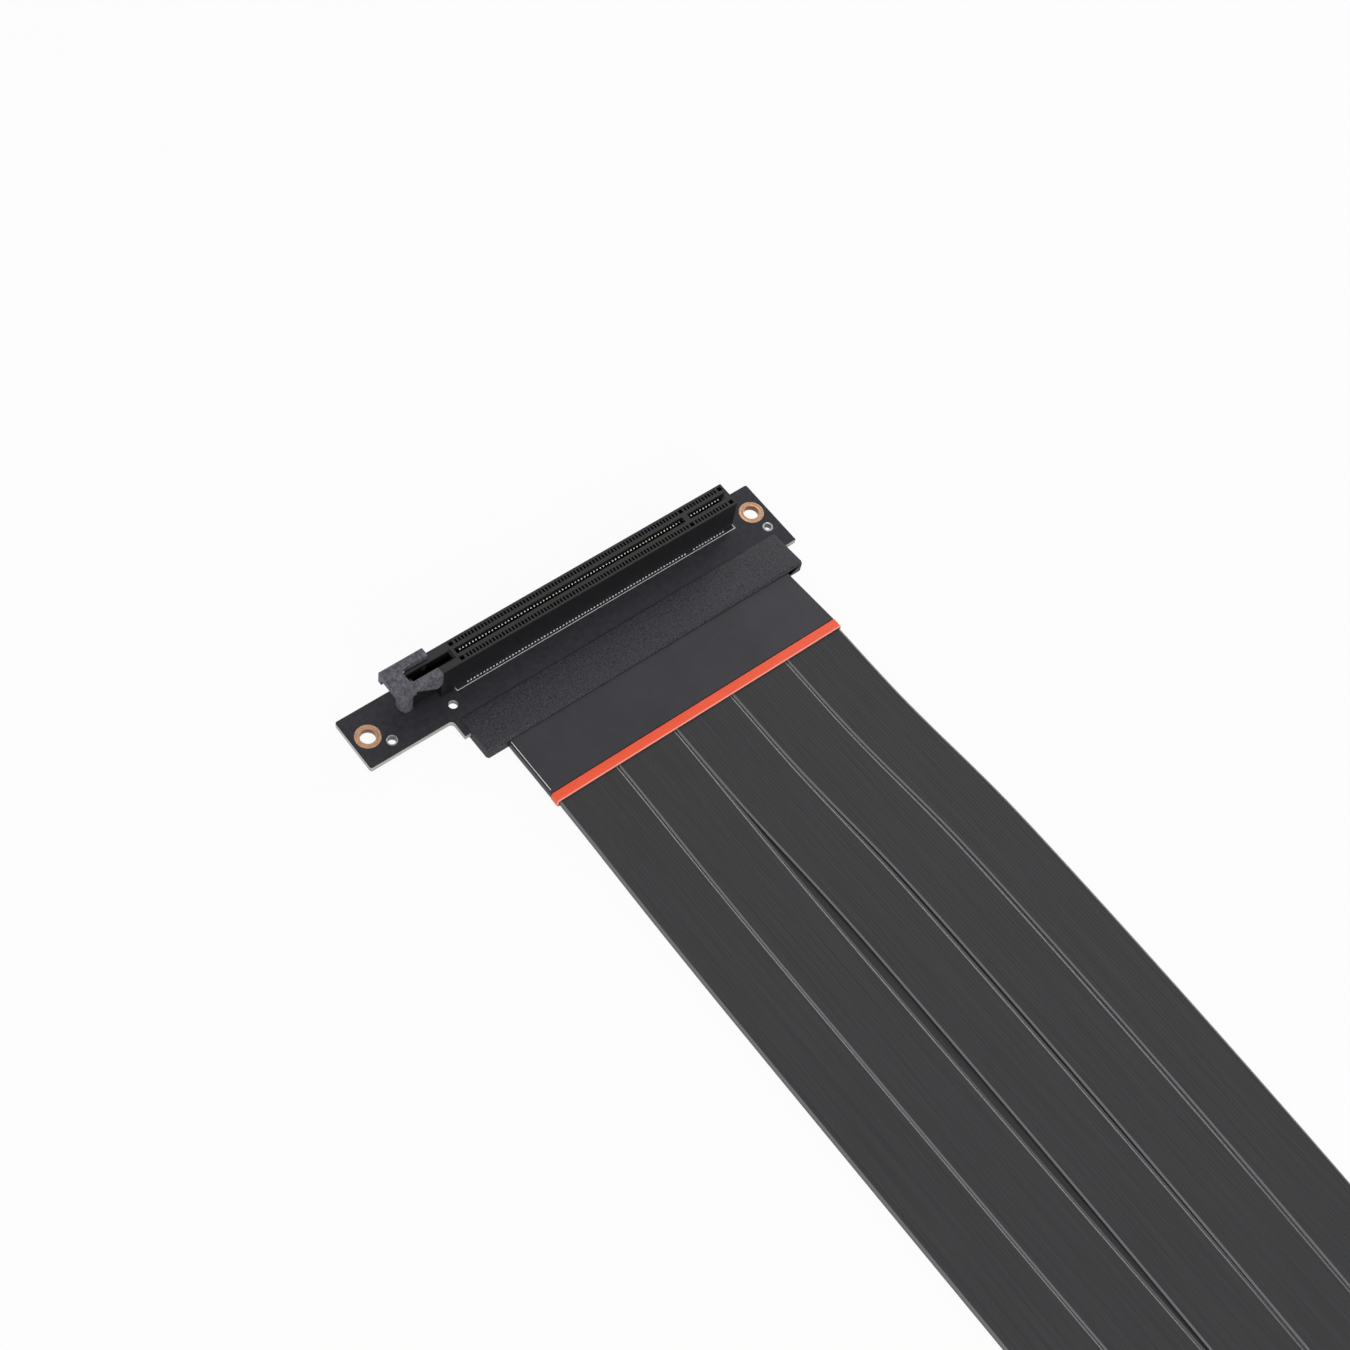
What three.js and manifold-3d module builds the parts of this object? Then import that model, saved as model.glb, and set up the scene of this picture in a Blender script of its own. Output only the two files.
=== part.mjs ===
// Riser cable for a graphics card: a 16-lane card slot on a small board, five flat double
// ribbons and an edge-card plug. Lengths in millimetres, +Z up.
// In each end's own frame contact 82 stands at x = 0, z = 0 is the top of the board and
// y = 0 is the middle of the slot. The cable runs towards -Y.
import * as THREE from 'three';
import { mergeVertices } from 'three/addons/utils/BufferGeometryUtils.js';
import Module from 'manifold-3d';

const wasm = await Module();
wasm.setup();

// Contacts: two rows of 82, one millimetre apart, with the key gap after number 12
const contactPitch = 1.0;
const longContacts = 71;
const shortContacts = 11;
const keySpacing = 3.0;
const shortStart = (longContacts - 1) * contactPitch + keySpacing;
const lastContact = shortStart + (shortContacts - 1) * contactPitch;
const keyX = shortStart - keySpacing / 2;

// Moulded cover over the soldered ribbon ends
const coverLeft = -8.2;
const coverRight = lastContact + 11.2;
const coverFar = -11.4;
const coverNear = -23.6;
const coverTopFar = 0.4;
const coverTopNear = 1.5;
const coverBottom = -3.0;
const coverFarSlope = 0.4;
const coverEdge = 0.7;
const coverSideGap = 0.3;

// Socket board. Its tongue reaches into the cover
const boardThickness = 1.6;
const boardLeft = -34.2;
const boardRight = coverRight + 3.75;
const boardFar = 5.05;
const tabNear = coverFar + 0.65;
const tabRight = coverLeft - 1.65;
const shoulderNear = coverFar - 4.8;
const tongueInset = 1.2;
const tongueLeft = coverLeft + tongueInset;
const tongueRight = coverRight - tongueInset;
const tongueLength = 3.6;
const boardCornerRadius = 0.6;
const tabFilletRadius = 1.2;

// Holes of the board: place from the board's ends, bore and pad diameters
const screwHoleY = -2.8;
const screwHoles = [
  { name: 'mounting_eyelet_left', x: boardLeft + 4.5, y: screwHoleY, bore: 4.1, pad: 6.8 },
  { name: 'mounting_eyelet_right', x: boardRight - 4.55, y: screwHoleY, bore: 4.1, pad: 6.8 },
];
const toolingHoles = [
  { name: 'tooling_eyelet_left', x: boardLeft + 8.8, y: -7.0, bore: 2.2, pad: 3.0 },
  { name: 'tooling_eyelet_right', x: boardRight - 3.75, y: -8.9, bore: 1.8, pad: 2.9 },
];
const plainHole = { x: tongueLeft, y: -7.0, bore: 2.5 };
const eyeletWall = 0.2;
const padThickness = 0.12;
const eyeletClearance = 0.12;

// Slot housing
const housingHeight = 11.25;
const housingHalfWidth = 3.65;
const housingLeft = -8.3;
const housingRight = lastContact + 2.85;
const channelHalfWidth = 0.85;
const channelFloor = 3.2;
const channelLeft = -1.9;
const channelRight = lastContact + 0.65;
const channelLeadIn = 1.5;
const keyWall = 1.7;
const windowY = 2.45;
const windowLength = 1.2;
const windowWidth = 0.55;
const windowDepth = 2.6;
const endWindowWidth = 1.25;
const endWindowOffset = 1.62;
const undercutHeight = 1.0;
const undercutDepth = 0.4;
const undercutLeft = housingLeft + 3.9;
const undercutRight = housingRight - 0.3;
const tailWidth = 0.42;
const tailReach = 0.7;
const tailHeight = 0.25;
const pegRadius = 1.15;
const pegLength = 2.2;
const pegClearance = 0.15;
const pegPlaces = [housingLeft + 2.7, keyX];

// Neck of the housing, which carries the latch
const neckLeft = housingLeft - 8.2;
const neckHalfWidth = 1.9;
const neckSlotHalfWidth = 1.2;
const neckSlotRight = channelLeft - 1.4;
const neckSlotFloor = 2.0;
const neckEndWall = 1.2;
const neckEndHeight = 4.2;
const neckChamfer = 0.45;

// Latch: a yoke over the neck with an arm down each side to the pivot
const latchTop = housingHeight + 1.5;
const latchArmThickness = 2.45;
const latchSideGap = 0.3;
const latchEndGap = 0.3;
const latchYokeRight = neckLeft - latchEndGap;
const latchLeft = latchYokeRight - 4.9;
const latchPlateThickness = 2.15;
const latchArmRoot = 1.2;
const latchCornerRadius = 1.1;
const farLegDepth = 4.05;
const farLegThickness = 1.3;
const nearLegDepth = 8.35;
const nearLegThickness = 1.8;
const nearLegWidth = 3.9;
const nearLegTaper = 1.9;
const nearLegTaperHeight = 3.3;
const nearLegCorner = 0.5;
const pivotX = neckLeft + 6.0;
const pivotZ = 9.15;
const pivotEyeRadius = 1.7;
const pivotPinRadius = 0.8;
const pivotPinReach = 0.55;
const pivotClearance = 0.15;
const hookHalfWidth = 0.8;
const hookReach = 2.1;
const hookBottom = 7.3;
const hookHeight = 1.7;

// Ribbons and the sleeve that binds them at each end
const cableLength = 300;
const stripCount = 5;
const stripWidth = 18.0;
const stripGap = 0.3;
const bundleSplay = 1.1;
const stripThickness = 0.8;
const stripEdgeCut = 0.2;
const layerGap = 0.2;
const sleeveWall = 0.2;
const sleeveSideRoom = 0.2;
const sleeveEdgeRadius = 0.45;
const sleeveHidden = 3.3;
const sleeveLength = 17.8;
const bandLength = 2.9;
const bandProud = 0.12;
const cableOffset = 1.0;

// Plug board: card edge with its key slot, hook notch and hook
const plugReach = 11.0;
const cardMargin = 0.85;
const keySlotWidth = 1.9;
const keySlotDepth = 8.2;
const cardShoulderWidth = 1.6;
const cardShoulderReach = 2.0;
const hookNotchWidth = 1.5;
const cardHookWidth = 8.4;
const cardHookShortfall = 3.4;
const cardHookDepth = 2.6;
const cardHookCorner = 1.0;
const plugCornerCut = 0.8;
const plugRoot = 1.5;

// A cutter runs this far past the faces it opens, and a joined piece this far into its carrier
const cutOverrun = 1.0;
const rootOverlap = 0.2;

// Sizes that follow from the ones above
const boardMiddleZ = -boardThickness / 2;
const latchHalfInner = neckHalfWidth + latchSideGap;
const latchHalfOuter = latchHalfInner + latchArmThickness;
const tongueNear = shoulderNear - tongueLength;
const cableMiddleX = (coverLeft + coverRight) / 2 + cableOffset;
const stackHeight = 2 * stripThickness + layerGap;
const sleeveHeight = stackHeight + 2 * (sleeveWall + layerGap);
const bundleWidth = stripCount * stripWidth + (stripCount - 1) * stripGap;
const sleeveWidth = bundleWidth + 2 * (sleeveWall + sleeveSideRoom);
const sleeveLeft = cableMiddleX - sleeveWidth / 2;
const sleeveInnerEnd = coverNear + sleeveHidden;
const bandStart = coverNear - sleeveLength;
const plugTurnY = coverNear - cableLength;
const ribbonInset = 3.0;
const ribbonLength = cableLength + 2 * ribbonInset;

// Materials
const materials = {
  solderMask: new THREE.MeshStandardMaterial({ color: 0x131417, roughness: 0.45 }),
  slotPlastic: new THREE.MeshStandardMaterial({ color: 0x0c0c0d, roughness: 0.5 }),
  latchPlastic: new THREE.MeshStandardMaterial({ color: 0x3a3a3f, roughness: 0.6 }),
  coverPlastic: new THREE.MeshStandardMaterial({ color: 0x26262a, roughness: 0.75 }),
  sleeveFilm: new THREE.MeshStandardMaterial({ color: 0x2c2c31, roughness: 0.55 }),
  bandFilm: new THREE.MeshStandardMaterial({ color: 0xfa5837, roughness: 0.55 }),
  ribbonJacket: new THREE.MeshStandardMaterial({ color: 0x242428, roughness: 0.4 }),
  copper: new THREE.MeshStandardMaterial({ color: 0xb87f55, roughness: 0.35, metalness: 0.9 }),
  tin: new THREE.MeshStandardMaterial({ color: 0xb9bbbf, roughness: 0.3, metalness: 0.9 }),
};

function solidFrom(geometry) {
  const bare = geometry.index ? geometry : geometry.clone();
  bare.deleteAttribute('normal');
  bare.deleteAttribute('uv');
  const merged = mergeVertices(bare, 1e-4);
  return new wasm.Manifold(new wasm.Mesh({
    numProp: 3,
    vertProperties: new Float32Array(merged.attributes.position.array),
    triVerts: new Uint32Array(merged.index.array),
  }));
}

function geometryFrom(solid) {
  const { vertProperties, triVerts } = solid.getMesh();
  const geometry = new THREE.BufferGeometry();
  geometry.setAttribute('position', new THREE.BufferAttribute(vertProperties, 3));
  geometry.setIndex(new THREE.BufferAttribute(triVerts, 1));
  geometry.computeVertexNormals();
  return geometry;
}

function block(x0, x1, y0, y1, z0, z1) {
  const geometry = new THREE.BoxGeometry(x1 - x0, y1 - y0, z1 - z0);
  return geometry.translate((x0 + x1) / 2, (y0 + y1) / 2, (z0 + z1) / 2);
}

function blockSolid(...sides) {
  return solidFrom(block(...sides));
}

function upright(radius, x, y, z0, z1, sides = 20) {
  const geometry = new THREE.CylinderGeometry(radius, radius, z1 - z0, sides);
  return solidFrom(geometry.rotateX(Math.PI / 2).translate(x, y, (z0 + z1) / 2));
}

function across(radius, x, z, y0, y1, sides = 24) {
  const geometry = new THREE.CylinderGeometry(radius, radius, y1 - y0, sides);
  return solidFrom(geometry.translate(x, (y0 + y1) / 2, z));
}

// An outline in X and Y, raised from z0 to z1
function plate(shape, z0, z1) {
  const depth = z1 - z0;
  const geometry = new THREE.ExtrudeGeometry(shape, { depth, bevelEnabled: false, curveSegments: 6 });
  return solidFrom(geometry.translate(0, 0, z0));
}

// An outline in X and Z, drawn out along Y from y0 to y1
function slab(shape, y0, y1) {
  const depth = y1 - y0;
  const geometry = new THREE.ExtrudeGeometry(shape, { depth, bevelEnabled: false, curveSegments: 10 });
  return solidFrom(geometry.rotateX(Math.PI / 2).translate(0, y1, 0));
}

// An outline in Y and Z, drawn out along X from x0 to x1, with its ends eased by the edge
function bar(shape, x0, x1, edge = 0) {
  const geometry = new THREE.ExtrudeGeometry(shape, {
    depth: x1 - x0 - 2 * edge,
    bevelEnabled: edge > 0,
    bevelThickness: edge,
    bevelSize: edge,
    bevelOffset: -edge,
    bevelSegments: 3,
  });
  const turned = new THREE.Matrix4().makeBasis(
    new THREE.Vector3(0, 1, 0), new THREE.Vector3(0, 0, 1), new THREE.Vector3(1, 0, 0));
  return solidFrom(geometry.applyMatrix4(turned).translate(x0 + edge, 0, 0));
}

function polygon(points) {
  return new THREE.Shape(points.map(([a, b]) => new THREE.Vector2(a, b)));
}

function joined(solids) {
  return solids.reduce((whole, next) => whole.add(next));
}

function contactPlaces() {
  const places = [];
  for (let i = 0; i < longContacts; i += 1) places.push(i * contactPitch);
  for (let i = 0; i < shortContacts; i += 1) places.push(shortStart + i * contactPitch);
  return places;
}

function addMesh(group, name, geometry, material, place = [0, 0, 0]) {
  const mesh = new THREE.Mesh(geometry, material);
  mesh.name = name;
  mesh.position.set(...place);
  group.add(mesh);
  return mesh;
}

// The board's outline, grown all round by the margin
function boardOutline(margin = 0) {
  const shape = new THREE.Shape();
  const left = boardLeft - margin;
  const right = boardRight + margin;
  const far = boardFar + margin;
  const radius = boardCornerRadius;
  const fillet = tabFilletRadius;
  const shoulder = shoulderNear - margin;
  shape.moveTo(left, far - radius);
  shape.lineTo(left, tabNear - margin + radius);
  shape.absarc(left + radius, tabNear - margin + radius, radius, Math.PI, 1.5 * Math.PI);
  shape.lineTo(tabRight - margin - fillet, tabNear - margin);
  shape.absarc(tabRight - margin - fillet, tabNear - margin - fillet, fillet, Math.PI / 2, 0, true);
  shape.lineTo(tabRight - margin, shoulder);
  shape.lineTo(tongueLeft - margin, shoulder);
  shape.lineTo(tongueLeft - margin, tongueNear - margin);
  shape.lineTo(tongueRight + margin, tongueNear - margin);
  shape.lineTo(tongueRight + margin, shoulder);
  shape.lineTo(right, shoulder);
  shape.lineTo(right, far - radius);
  shape.absarc(right - radius, far - radius, radius, 0, Math.PI / 2);
  shape.lineTo(left + radius, far);
  shape.absarc(left + radius, far - radius, radius, Math.PI / 2, Math.PI);
  return shape;
}

function socketBoard() {
  const drillEnd = -boardThickness - cutOverrun;
  const drilled = [...screwHoles, ...toolingHoles].map(({ x, y, bore }) => (
    upright(bore / 2 + eyeletWall + eyeletClearance, x, y, drillEnd, cutOverrun)));
  drilled.push(upright(plainHole.bore / 2, plainHole.x, plainHole.y, drillEnd, cutOverrun));
  for (const x of pegPlaces) {
    drilled.push(upright(pegRadius + pegClearance, x, 0, drillEnd, cutOverrun));
  }
  return geometryFrom(plate(boardOutline(), -boardThickness, 0).subtract(joined(drilled)));
}

// A plated hole: a barrel through the board with a flat pad on each face
function eyelet({ bore, pad }) {
  const inner = bore / 2;
  const outer = inner + eyeletWall;
  const profile = [
    [inner, -boardThickness - padThickness], [pad / 2, -boardThickness - padThickness],
    [pad / 2, -boardThickness], [outer, -boardThickness], [outer, 0],
    [pad / 2, 0], [pad / 2, padThickness], [inner, padThickness],
    [inner, -boardThickness - padThickness],
  ].map(([r, z]) => new THREE.Vector2(r, z));
  return new THREE.LatheGeometry(profile, 20).rotateX(Math.PI / 2);
}

function housingWindows() {
  const top = housingHeight + cutOverrun;
  const floor = housingHeight - windowDepth;
  const cuts = [];
  for (const side of [-1, 1]) {
    const y0 = side * windowY - windowLength / 2;
    const y1 = side * windowY + windowLength / 2;
    for (const x of contactPlaces()) {
      cuts.push(blockSolid(x - windowWidth / 2, x + windowWidth / 2, y0, y1, floor, top));
    }
    for (const x of [-endWindowOffset, keyX, lastContact + endWindowOffset]) {
      cuts.push(blockSolid(x - endWindowWidth / 2, x + endWindowWidth / 2, y0, y1, floor, top));
    }
  }
  return cuts;
}

// The card channel, its key wall and the sloped lead-in at its far right end
function cardChannel() {
  const top = housingHeight + cutOverrun;
  const leadInRight = channelRight + channelLeadIn;
  const cut = polygon([
    [channelLeft, channelFloor], [channelRight, channelFloor],
    [channelRight, housingHeight - channelLeadIn], [leadInRight, housingHeight],
    [leadInRight + cutOverrun, top], [channelLeft, top],
  ]);
  const key = blockSolid(keyX - keyWall / 2, keyX + keyWall / 2,
    -housingHalfWidth, housingHalfWidth, 0, housingHeight);
  return slab(cut, -channelHalfWidth, channelHalfWidth).subtract(key);
}

// The wider slot left of the end wall, where the card's hook passes the latch
function neckSlot() {
  const half = neckSlotHalfWidth;
  const top = housingHeight + cutOverrun;
  const left = neckLeft - cutOverrun;
  const well = blockSolid(neckLeft + neckEndWall, neckSlotRight, -half, half, neckSlotFloor, top);
  const outlet = blockSolid(left, neckSlotRight, -half, half, neckEndHeight, top);
  const lipHalf = half + neckChamfer + cutOverrun;
  const lip = bar(polygon([
    [-half, housingHeight - neckChamfer], [half, housingHeight - neckChamfer],
    [lipHalf, top], [-lipHalf, top],
  ]), left, neckSlotRight + neckChamfer);
  return joined([well, outlet, lip]);
}

function slotHousing() {
  const half = housingHalfWidth;
  const body = blockSolid(housingLeft, housingRight, -half, half, 0, housingHeight);
  const neck = blockSolid(neckLeft, housingLeft + rootOverlap,
    -neckHalfWidth, neckHalfWidth, 0, housingHeight);
  const cuts = [cardChannel(), neckSlot(), ...housingWindows()];
  for (const side of [-1, 1]) {
    const inner = side * (half - undercutDepth);
    const outer = side * (half + cutOverrun);
    cuts.push(blockSolid(undercutLeft, undercutRight,
      Math.min(inner, outer), Math.max(inner, outer), -cutOverrun, undercutHeight));
  }
  cuts.push(across(pivotPinRadius + pivotClearance, pivotX, pivotZ, -half, half));
  const added = pegPlaces.map((x) => upright(pegRadius, x, 0, -pegLength, rootOverlap));
  for (const side of [-1, 1]) {
    const root = side * (half - undercutDepth - rootOverlap);
    const tip = side * (half - undercutDepth + tailReach);
    for (const x of contactPlaces()) {
      added.push(blockSolid(x - tailWidth / 2, x + tailWidth / 2,
        Math.min(root, tip), Math.max(root, tip), 0, tailHeight));
    }
  }
  const carved = body.add(neck).subtract(joined(cuts));
  return geometryFrom(carved.add(joined(added)));
}

// Rounds the inner corner between the yoke's plate and an arm, above the top of the neck
function cornerFillet(side) {
  const radius = latchCornerRadius;
  const inner = side * latchHalfInner;
  const centre = inner - side * radius;
  const left = latchYokeRight - rootOverlap;
  const root = inner + side * rootOverlap;
  const shape = new THREE.Shape();
  shape.moveTo(left, centre);
  shape.lineTo(latchYokeRight, centre);
  shape.absarc(latchYokeRight + radius, centre, radius, Math.PI, side * Math.PI / 2, side > 0);
  shape.lineTo(latchYokeRight + radius, root);
  shape.lineTo(left, root);
  return plate(shape, housingHeight + latchEndGap, latchTop);
}

// The yoke is drawn about its pivot, so that it turns where it stands
function latch() {
  const plateBottom = latchTop - latchPlateThickness;
  const armLeft = latchYokeRight - latchArmRoot;
  const armSide = new THREE.Shape();
  armSide.moveTo(armLeft, pivotZ - pivotEyeRadius);
  armSide.absarc(pivotX, pivotZ, pivotEyeRadius, 1.5 * Math.PI, 2 * Math.PI);
  armSide.lineTo(pivotX + pivotEyeRadius, latchTop);
  armSide.lineTo(armLeft, latchTop);
  const farArm = slab(armSide, latchHalfInner, latchHalfOuter);
  const nearArm = slab(armSide, -latchHalfOuter, -latchHalfInner);
  const yoke = blockSolid(latchLeft, latchYokeRight, -latchHalfOuter, latchHalfOuter, plateBottom, latchTop);
  const legRight = latchLeft + nearLegWidth;
  const farLeg = blockSolid(latchLeft, legRight, latchHalfOuter - farLegThickness,
    latchHalfOuter, latchTop - farLegDepth, latchTop);
  const foot = latchTop - nearLegDepth;
  const nearLeg = slab(polygon([
    [latchLeft, latchTop], [latchLeft, foot + nearLegTaperHeight], [latchLeft + nearLegTaper, foot],
    [legRight - nearLegCorner, foot], [legRight, foot + nearLegCorner], [legRight, latchTop],
  ]), -latchHalfOuter, -latchHalfOuter + nearLegThickness);
  const hookRoot = blockSolid(armLeft, latchYokeRight, -hookHalfWidth, hookHalfWidth,
    hookBottom, plateBottom + rootOverlap);
  const hookNose = blockSolid(armLeft, latchYokeRight + hookReach, -hookHalfWidth, hookHalfWidth,
    hookBottom, hookBottom + hookHeight);
  const pins = [-1, 1].map((side) => {
    const root = side * (latchHalfInner + latchArmThickness / 2);
    const tip = side * (latchHalfInner - latchSideGap - pivotPinReach);
    return across(pivotPinRadius, pivotX, pivotZ, Math.min(root, tip), Math.max(root, tip));
  });
  const parts = [yoke, farArm, nearArm, farLeg, nearLeg, hookRoot, hookNose, ...pins];
  const whole = joined([...parts, cornerFillet(1), cornerFillet(-1)]);
  return geometryFrom(whole).translate(-pivotX, 0, -pivotZ);
}

// The bundle lies closer together in the cover than at the band: 0 at the band, 1 at the inner end
function splayShare(y) {
  return THREE.MathUtils.clamp((y - bandStart) / (sleeveInnerEnd - bandStart), 0, 1);
}

function drawnIn(solid) {
  return solid.warp((vertex) => {
    const across = (vertex[0] - sleeveLeft) / sleeveWidth;
    vertex[0] -= bundleSplay * splayShare(vertex[1]) * across;
  });
}

function sleeveBlock(margin, y0, y1) {
  return drawnIn(blockSolid(sleeveLeft - margin, sleeveLeft + sleeveWidth + margin,
    y0, y1, boardMiddleZ - sleeveHeight / 2 - margin, boardMiddleZ + sleeveHeight / 2 + margin));
}

// The moulding is closed over the board's tongue and open where the sleeve comes out
function cover(boardCut) {
  const edge = coverEdge;
  const shell = bar(polygon([
    [coverFar, coverBottom + edge], [coverFar, 0], [coverFar - coverFarSlope, coverTopFar],
    [coverNear + edge, coverTopNear], [coverNear, coverTopNear - edge],
    [coverNear, coverBottom + edge], [coverNear + edge, coverBottom], [coverFar - edge, coverBottom],
  ]), coverLeft, coverRight, edge);
  const mouth = sleeveBlock(coverSideGap / 2, coverNear - cutOverrun, tongueNear - coverSideGap);
  return geometryFrom(shell.subtract(boardCut).subtract(mouth));
}

// The sleeve and the band round its end, both hollow for the ribbons
function sleeveShell(y0, y1, proud) {
  const outer = new THREE.Shape();
  const width = sleeveWidth + 2 * proud;
  const height = sleeveHeight + 2 * proud;
  const round = sleeveEdgeRadius;
  outer.moveTo(-width / 2 + round, -height / 2);
  outer.lineTo(width / 2 - round, -height / 2);
  outer.absarc(width / 2 - round, -height / 2 + round, round, -Math.PI / 2, 0);
  outer.absarc(width / 2 - round, height / 2 - round, round, 0, Math.PI / 2);
  outer.lineTo(-width / 2 + round, height / 2);
  outer.absarc(-width / 2 + round, height / 2 - round, round, Math.PI / 2, Math.PI);
  outer.absarc(-width / 2 + round, -height / 2 + round, round, Math.PI, 1.5 * Math.PI);
  const depth = y1 - y0;
  const tube = new THREE.ExtrudeGeometry(outer, { depth, bevelEnabled: false, curveSegments: 3 });
  const solid = solidFrom(tube.rotateX(Math.PI / 2).translate(cableMiddleX, y1, boardMiddleZ));
  const tunnel = blockSolid(cableMiddleX - bundleWidth / 2 - sleeveSideRoom,
    cableMiddleX + bundleWidth / 2 + sleeveSideRoom, y0 - cutOverrun, y1 + cutOverrun,
    boardMiddleZ - stackHeight / 2 - layerGap, boardMiddleZ + stackHeight / 2 + layerGap);
  return geometryFrom(drawnIn(solid.subtract(tunnel)));
}

// Outline of the plug board, its tongue and card edge grown by the margin
function plugOutline(margin = 0) {
  const edgeY = coverFar + plugReach + margin;
  const rootY = coverFar - plugRoot;
  const slotY = edgeY - keySlotDepth;
  const keyLeft = keyX - keySlotWidth / 2;
  const keyRight = keyX + keySlotWidth / 2;
  const cardLeft = -cardMargin;
  const cardRight = lastContact + cardMargin;
  const shoulderRight = cardRight + cardShoulderWidth;
  const shoulderY = coverFar + cardShoulderReach;
  const notchLeft = cardLeft - hookNotchWidth;
  const hookLeft = notchLeft - cardHookWidth - cardMargin;
  const hookY = edgeY - cardHookShortfall;
  const hookRootY = hookY - cardHookDepth;
  const hookRootX = notchLeft - cardHookDepth;
  return polygon([
    [tongueLeft - margin, tongueNear - margin], [tongueRight + margin, tongueNear - margin],
    [tongueRight + margin, rootY], [shoulderRight, rootY], [shoulderRight, shoulderY],
    [cardRight, shoulderY + cardShoulderWidth], [cardRight, edgeY - plugCornerCut],
    [cardRight - plugCornerCut, edgeY], [keyRight, edgeY], [keyRight, slotY], [keyLeft, slotY],
    [keyLeft, edgeY], [cardLeft + plugCornerCut, edgeY], [cardLeft, edgeY - plugCornerCut],
    [cardLeft, slotY], [notchLeft, slotY], [notchLeft, hookY], [hookLeft + cardHookCorner, hookY],
    [hookLeft, hookY - cardHookCorner], [hookLeft, hookRootY], [hookRootX, hookRootY],
    [hookRootX, rootY], [tongueLeft - margin, rootY],
  ]);
}

function plugBoard() {
  return geometryFrom(plate(plugOutline(), -boardThickness, 0));
}

// Route of the ribbons from cover to cover: share of their length, rise from the board's
// middle and share of the sideways fan. The points are chosen by hand.
const ribbonRoute = [
  [0, 0, 0], [0.04, 0, 0], [0.08, 0, 0], [0.12, -0.35, 0.06], [0.16, -0.85, 0.2],
  [0.2, -1.15, 0.45], [0.24, -1.2, 0.72], [0.28, -1.2, 0.92], [0.33, -1.2, 1], [0.41, -1.2, 1],
  [0.5, -1.2, 0.92], [0.58, -1.2, 0.78], [0.66, -1.2, 0.58], [0.73, -1.2, 0.36],
  [0.79, -1.15, 0.18], [0.84, -0.85, 0.07], [0.88, -0.35, 0.02], [0.92, 0, 0], [0.96, 0, 0],
  [1, 0, 0],
];
const upperFan = [-0.4, -0.65, 2.0, 2.9, 3.3];
const lowerFan = [-0.4, -0.5, -0.75, 1.9, 2.8];
const routeSteps = 26;
const ribbonStart = coverNear + ribbonInset;

// The strips keep to the sleeve as it narrows, so each is drawn in by its own step
function ribbonGeometry(fan, layer, strip) {
  const step = bundleSplay * strip / (stripCount - 1);
  const curve = new THREE.CatmullRomCurve3(ribbonRoute.map(([along, rise, share]) => {
    const fromNearerEnd = Math.min(along, 1 - along) * ribbonLength;
    const drawn = step * splayShare(ribbonStart - fromNearerEnd);
    return new THREE.Vector3(fan * share - drawn, -along * ribbonLength, rise);
  }));
  const cut = stripEdgeCut;
  const w = stripWidth / 2;
  const h = stripThickness / 2;
  const section = polygon([
    [-w + cut, -h], [w - cut, -h], [w, -h + cut], [w, h - cut],
    [w - cut, h], [-w + cut, h], [-w, h - cut], [-w, -h + cut],
  ]);
  const geometry = new THREE.ExtrudeGeometry(section, { depth: 1, steps: routeSteps, bevelEnabled: false });
  const position = geometry.attributes.position;
  const point = new THREE.Vector3();
  for (let i = 0; i < position.count; i += 1) {
    curve.getPoint(THREE.MathUtils.clamp(position.getZ(i), 0, 1), point);
    position.setXYZ(i, position.getX(i) + point.x, point.y, position.getY(i) + point.z + layer);
  }
  return geometryFrom(solidFrom(geometry));
}

function addSleeve(group, prefix) {
  const sleeve = sleeveShell(bandStart, sleeveInnerEnd, 0);
  const band = sleeveShell(bandStart - bandLength, bandStart, bandProud);
  addMesh(group, `${prefix}_sleeve`, sleeve, materials.sleeveFilm);
  addMesh(group, `${prefix}_band`, band, materials.bandFilm);
}

const riser = new THREE.Group();
// The origin lies on the surface under the middle of the two ends
const reachY = -plugTurnY - coverNear + coverFar + plugReach;
const offset = [-(boardLeft + boardRight) / 2, (reachY - boardFar) / 2, -coverBottom];
riser.position.set(...offset);

const socketEnd = new THREE.Group();
addMesh(socketEnd, 'socket_board', socketBoard(), materials.solderMask);
addMesh(socketEnd, 'slot_housing', slotHousing(), materials.slotPlastic);
addMesh(socketEnd, 'slot_latch', latch(), materials.latchPlastic, [pivotX, 0, pivotZ]);
for (const hole of screwHoles) {
  addMesh(socketEnd, hole.name, eyelet(hole), materials.copper, [hole.x, hole.y, 0]);
}
for (const hole of toolingHoles) {
  addMesh(socketEnd, hole.name, eyelet(hole), materials.tin, [hole.x, hole.y, 0]);
}
addMesh(socketEnd, 'socket_cover',
  cover(plate(boardOutline(coverSideGap), -boardThickness, 0)), materials.coverPlastic);
addSleeve(socketEnd, 'socket');
riser.add(socketEnd);

const ribbons = new THREE.Group();
const firstStripX = cableMiddleX - bundleWidth / 2 + stripWidth / 2;
const layerOffset = (stripThickness + layerGap) / 2;
for (let i = 0; i < stripCount; i += 1) {
  const x = firstStripX + i * (stripWidth + stripGap);
  addMesh(ribbons, `upper_ribbon_${i + 1}`, ribbonGeometry(upperFan[i], layerOffset, i),
    materials.ribbonJacket, [x, ribbonStart, boardMiddleZ]);
  addMesh(ribbons, `lower_ribbon_${i + 1}`, ribbonGeometry(lowerFan[i], -layerOffset, i),
    materials.ribbonJacket, [x, ribbonStart, boardMiddleZ]);
}
riser.add(ribbons);

// The plug end faces the other way, so its pieces are mirrored in Y
function mirrored(geometry) {
  return geometryFrom(solidFrom(geometry).mirror([0, 1, 0]));
}

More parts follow.
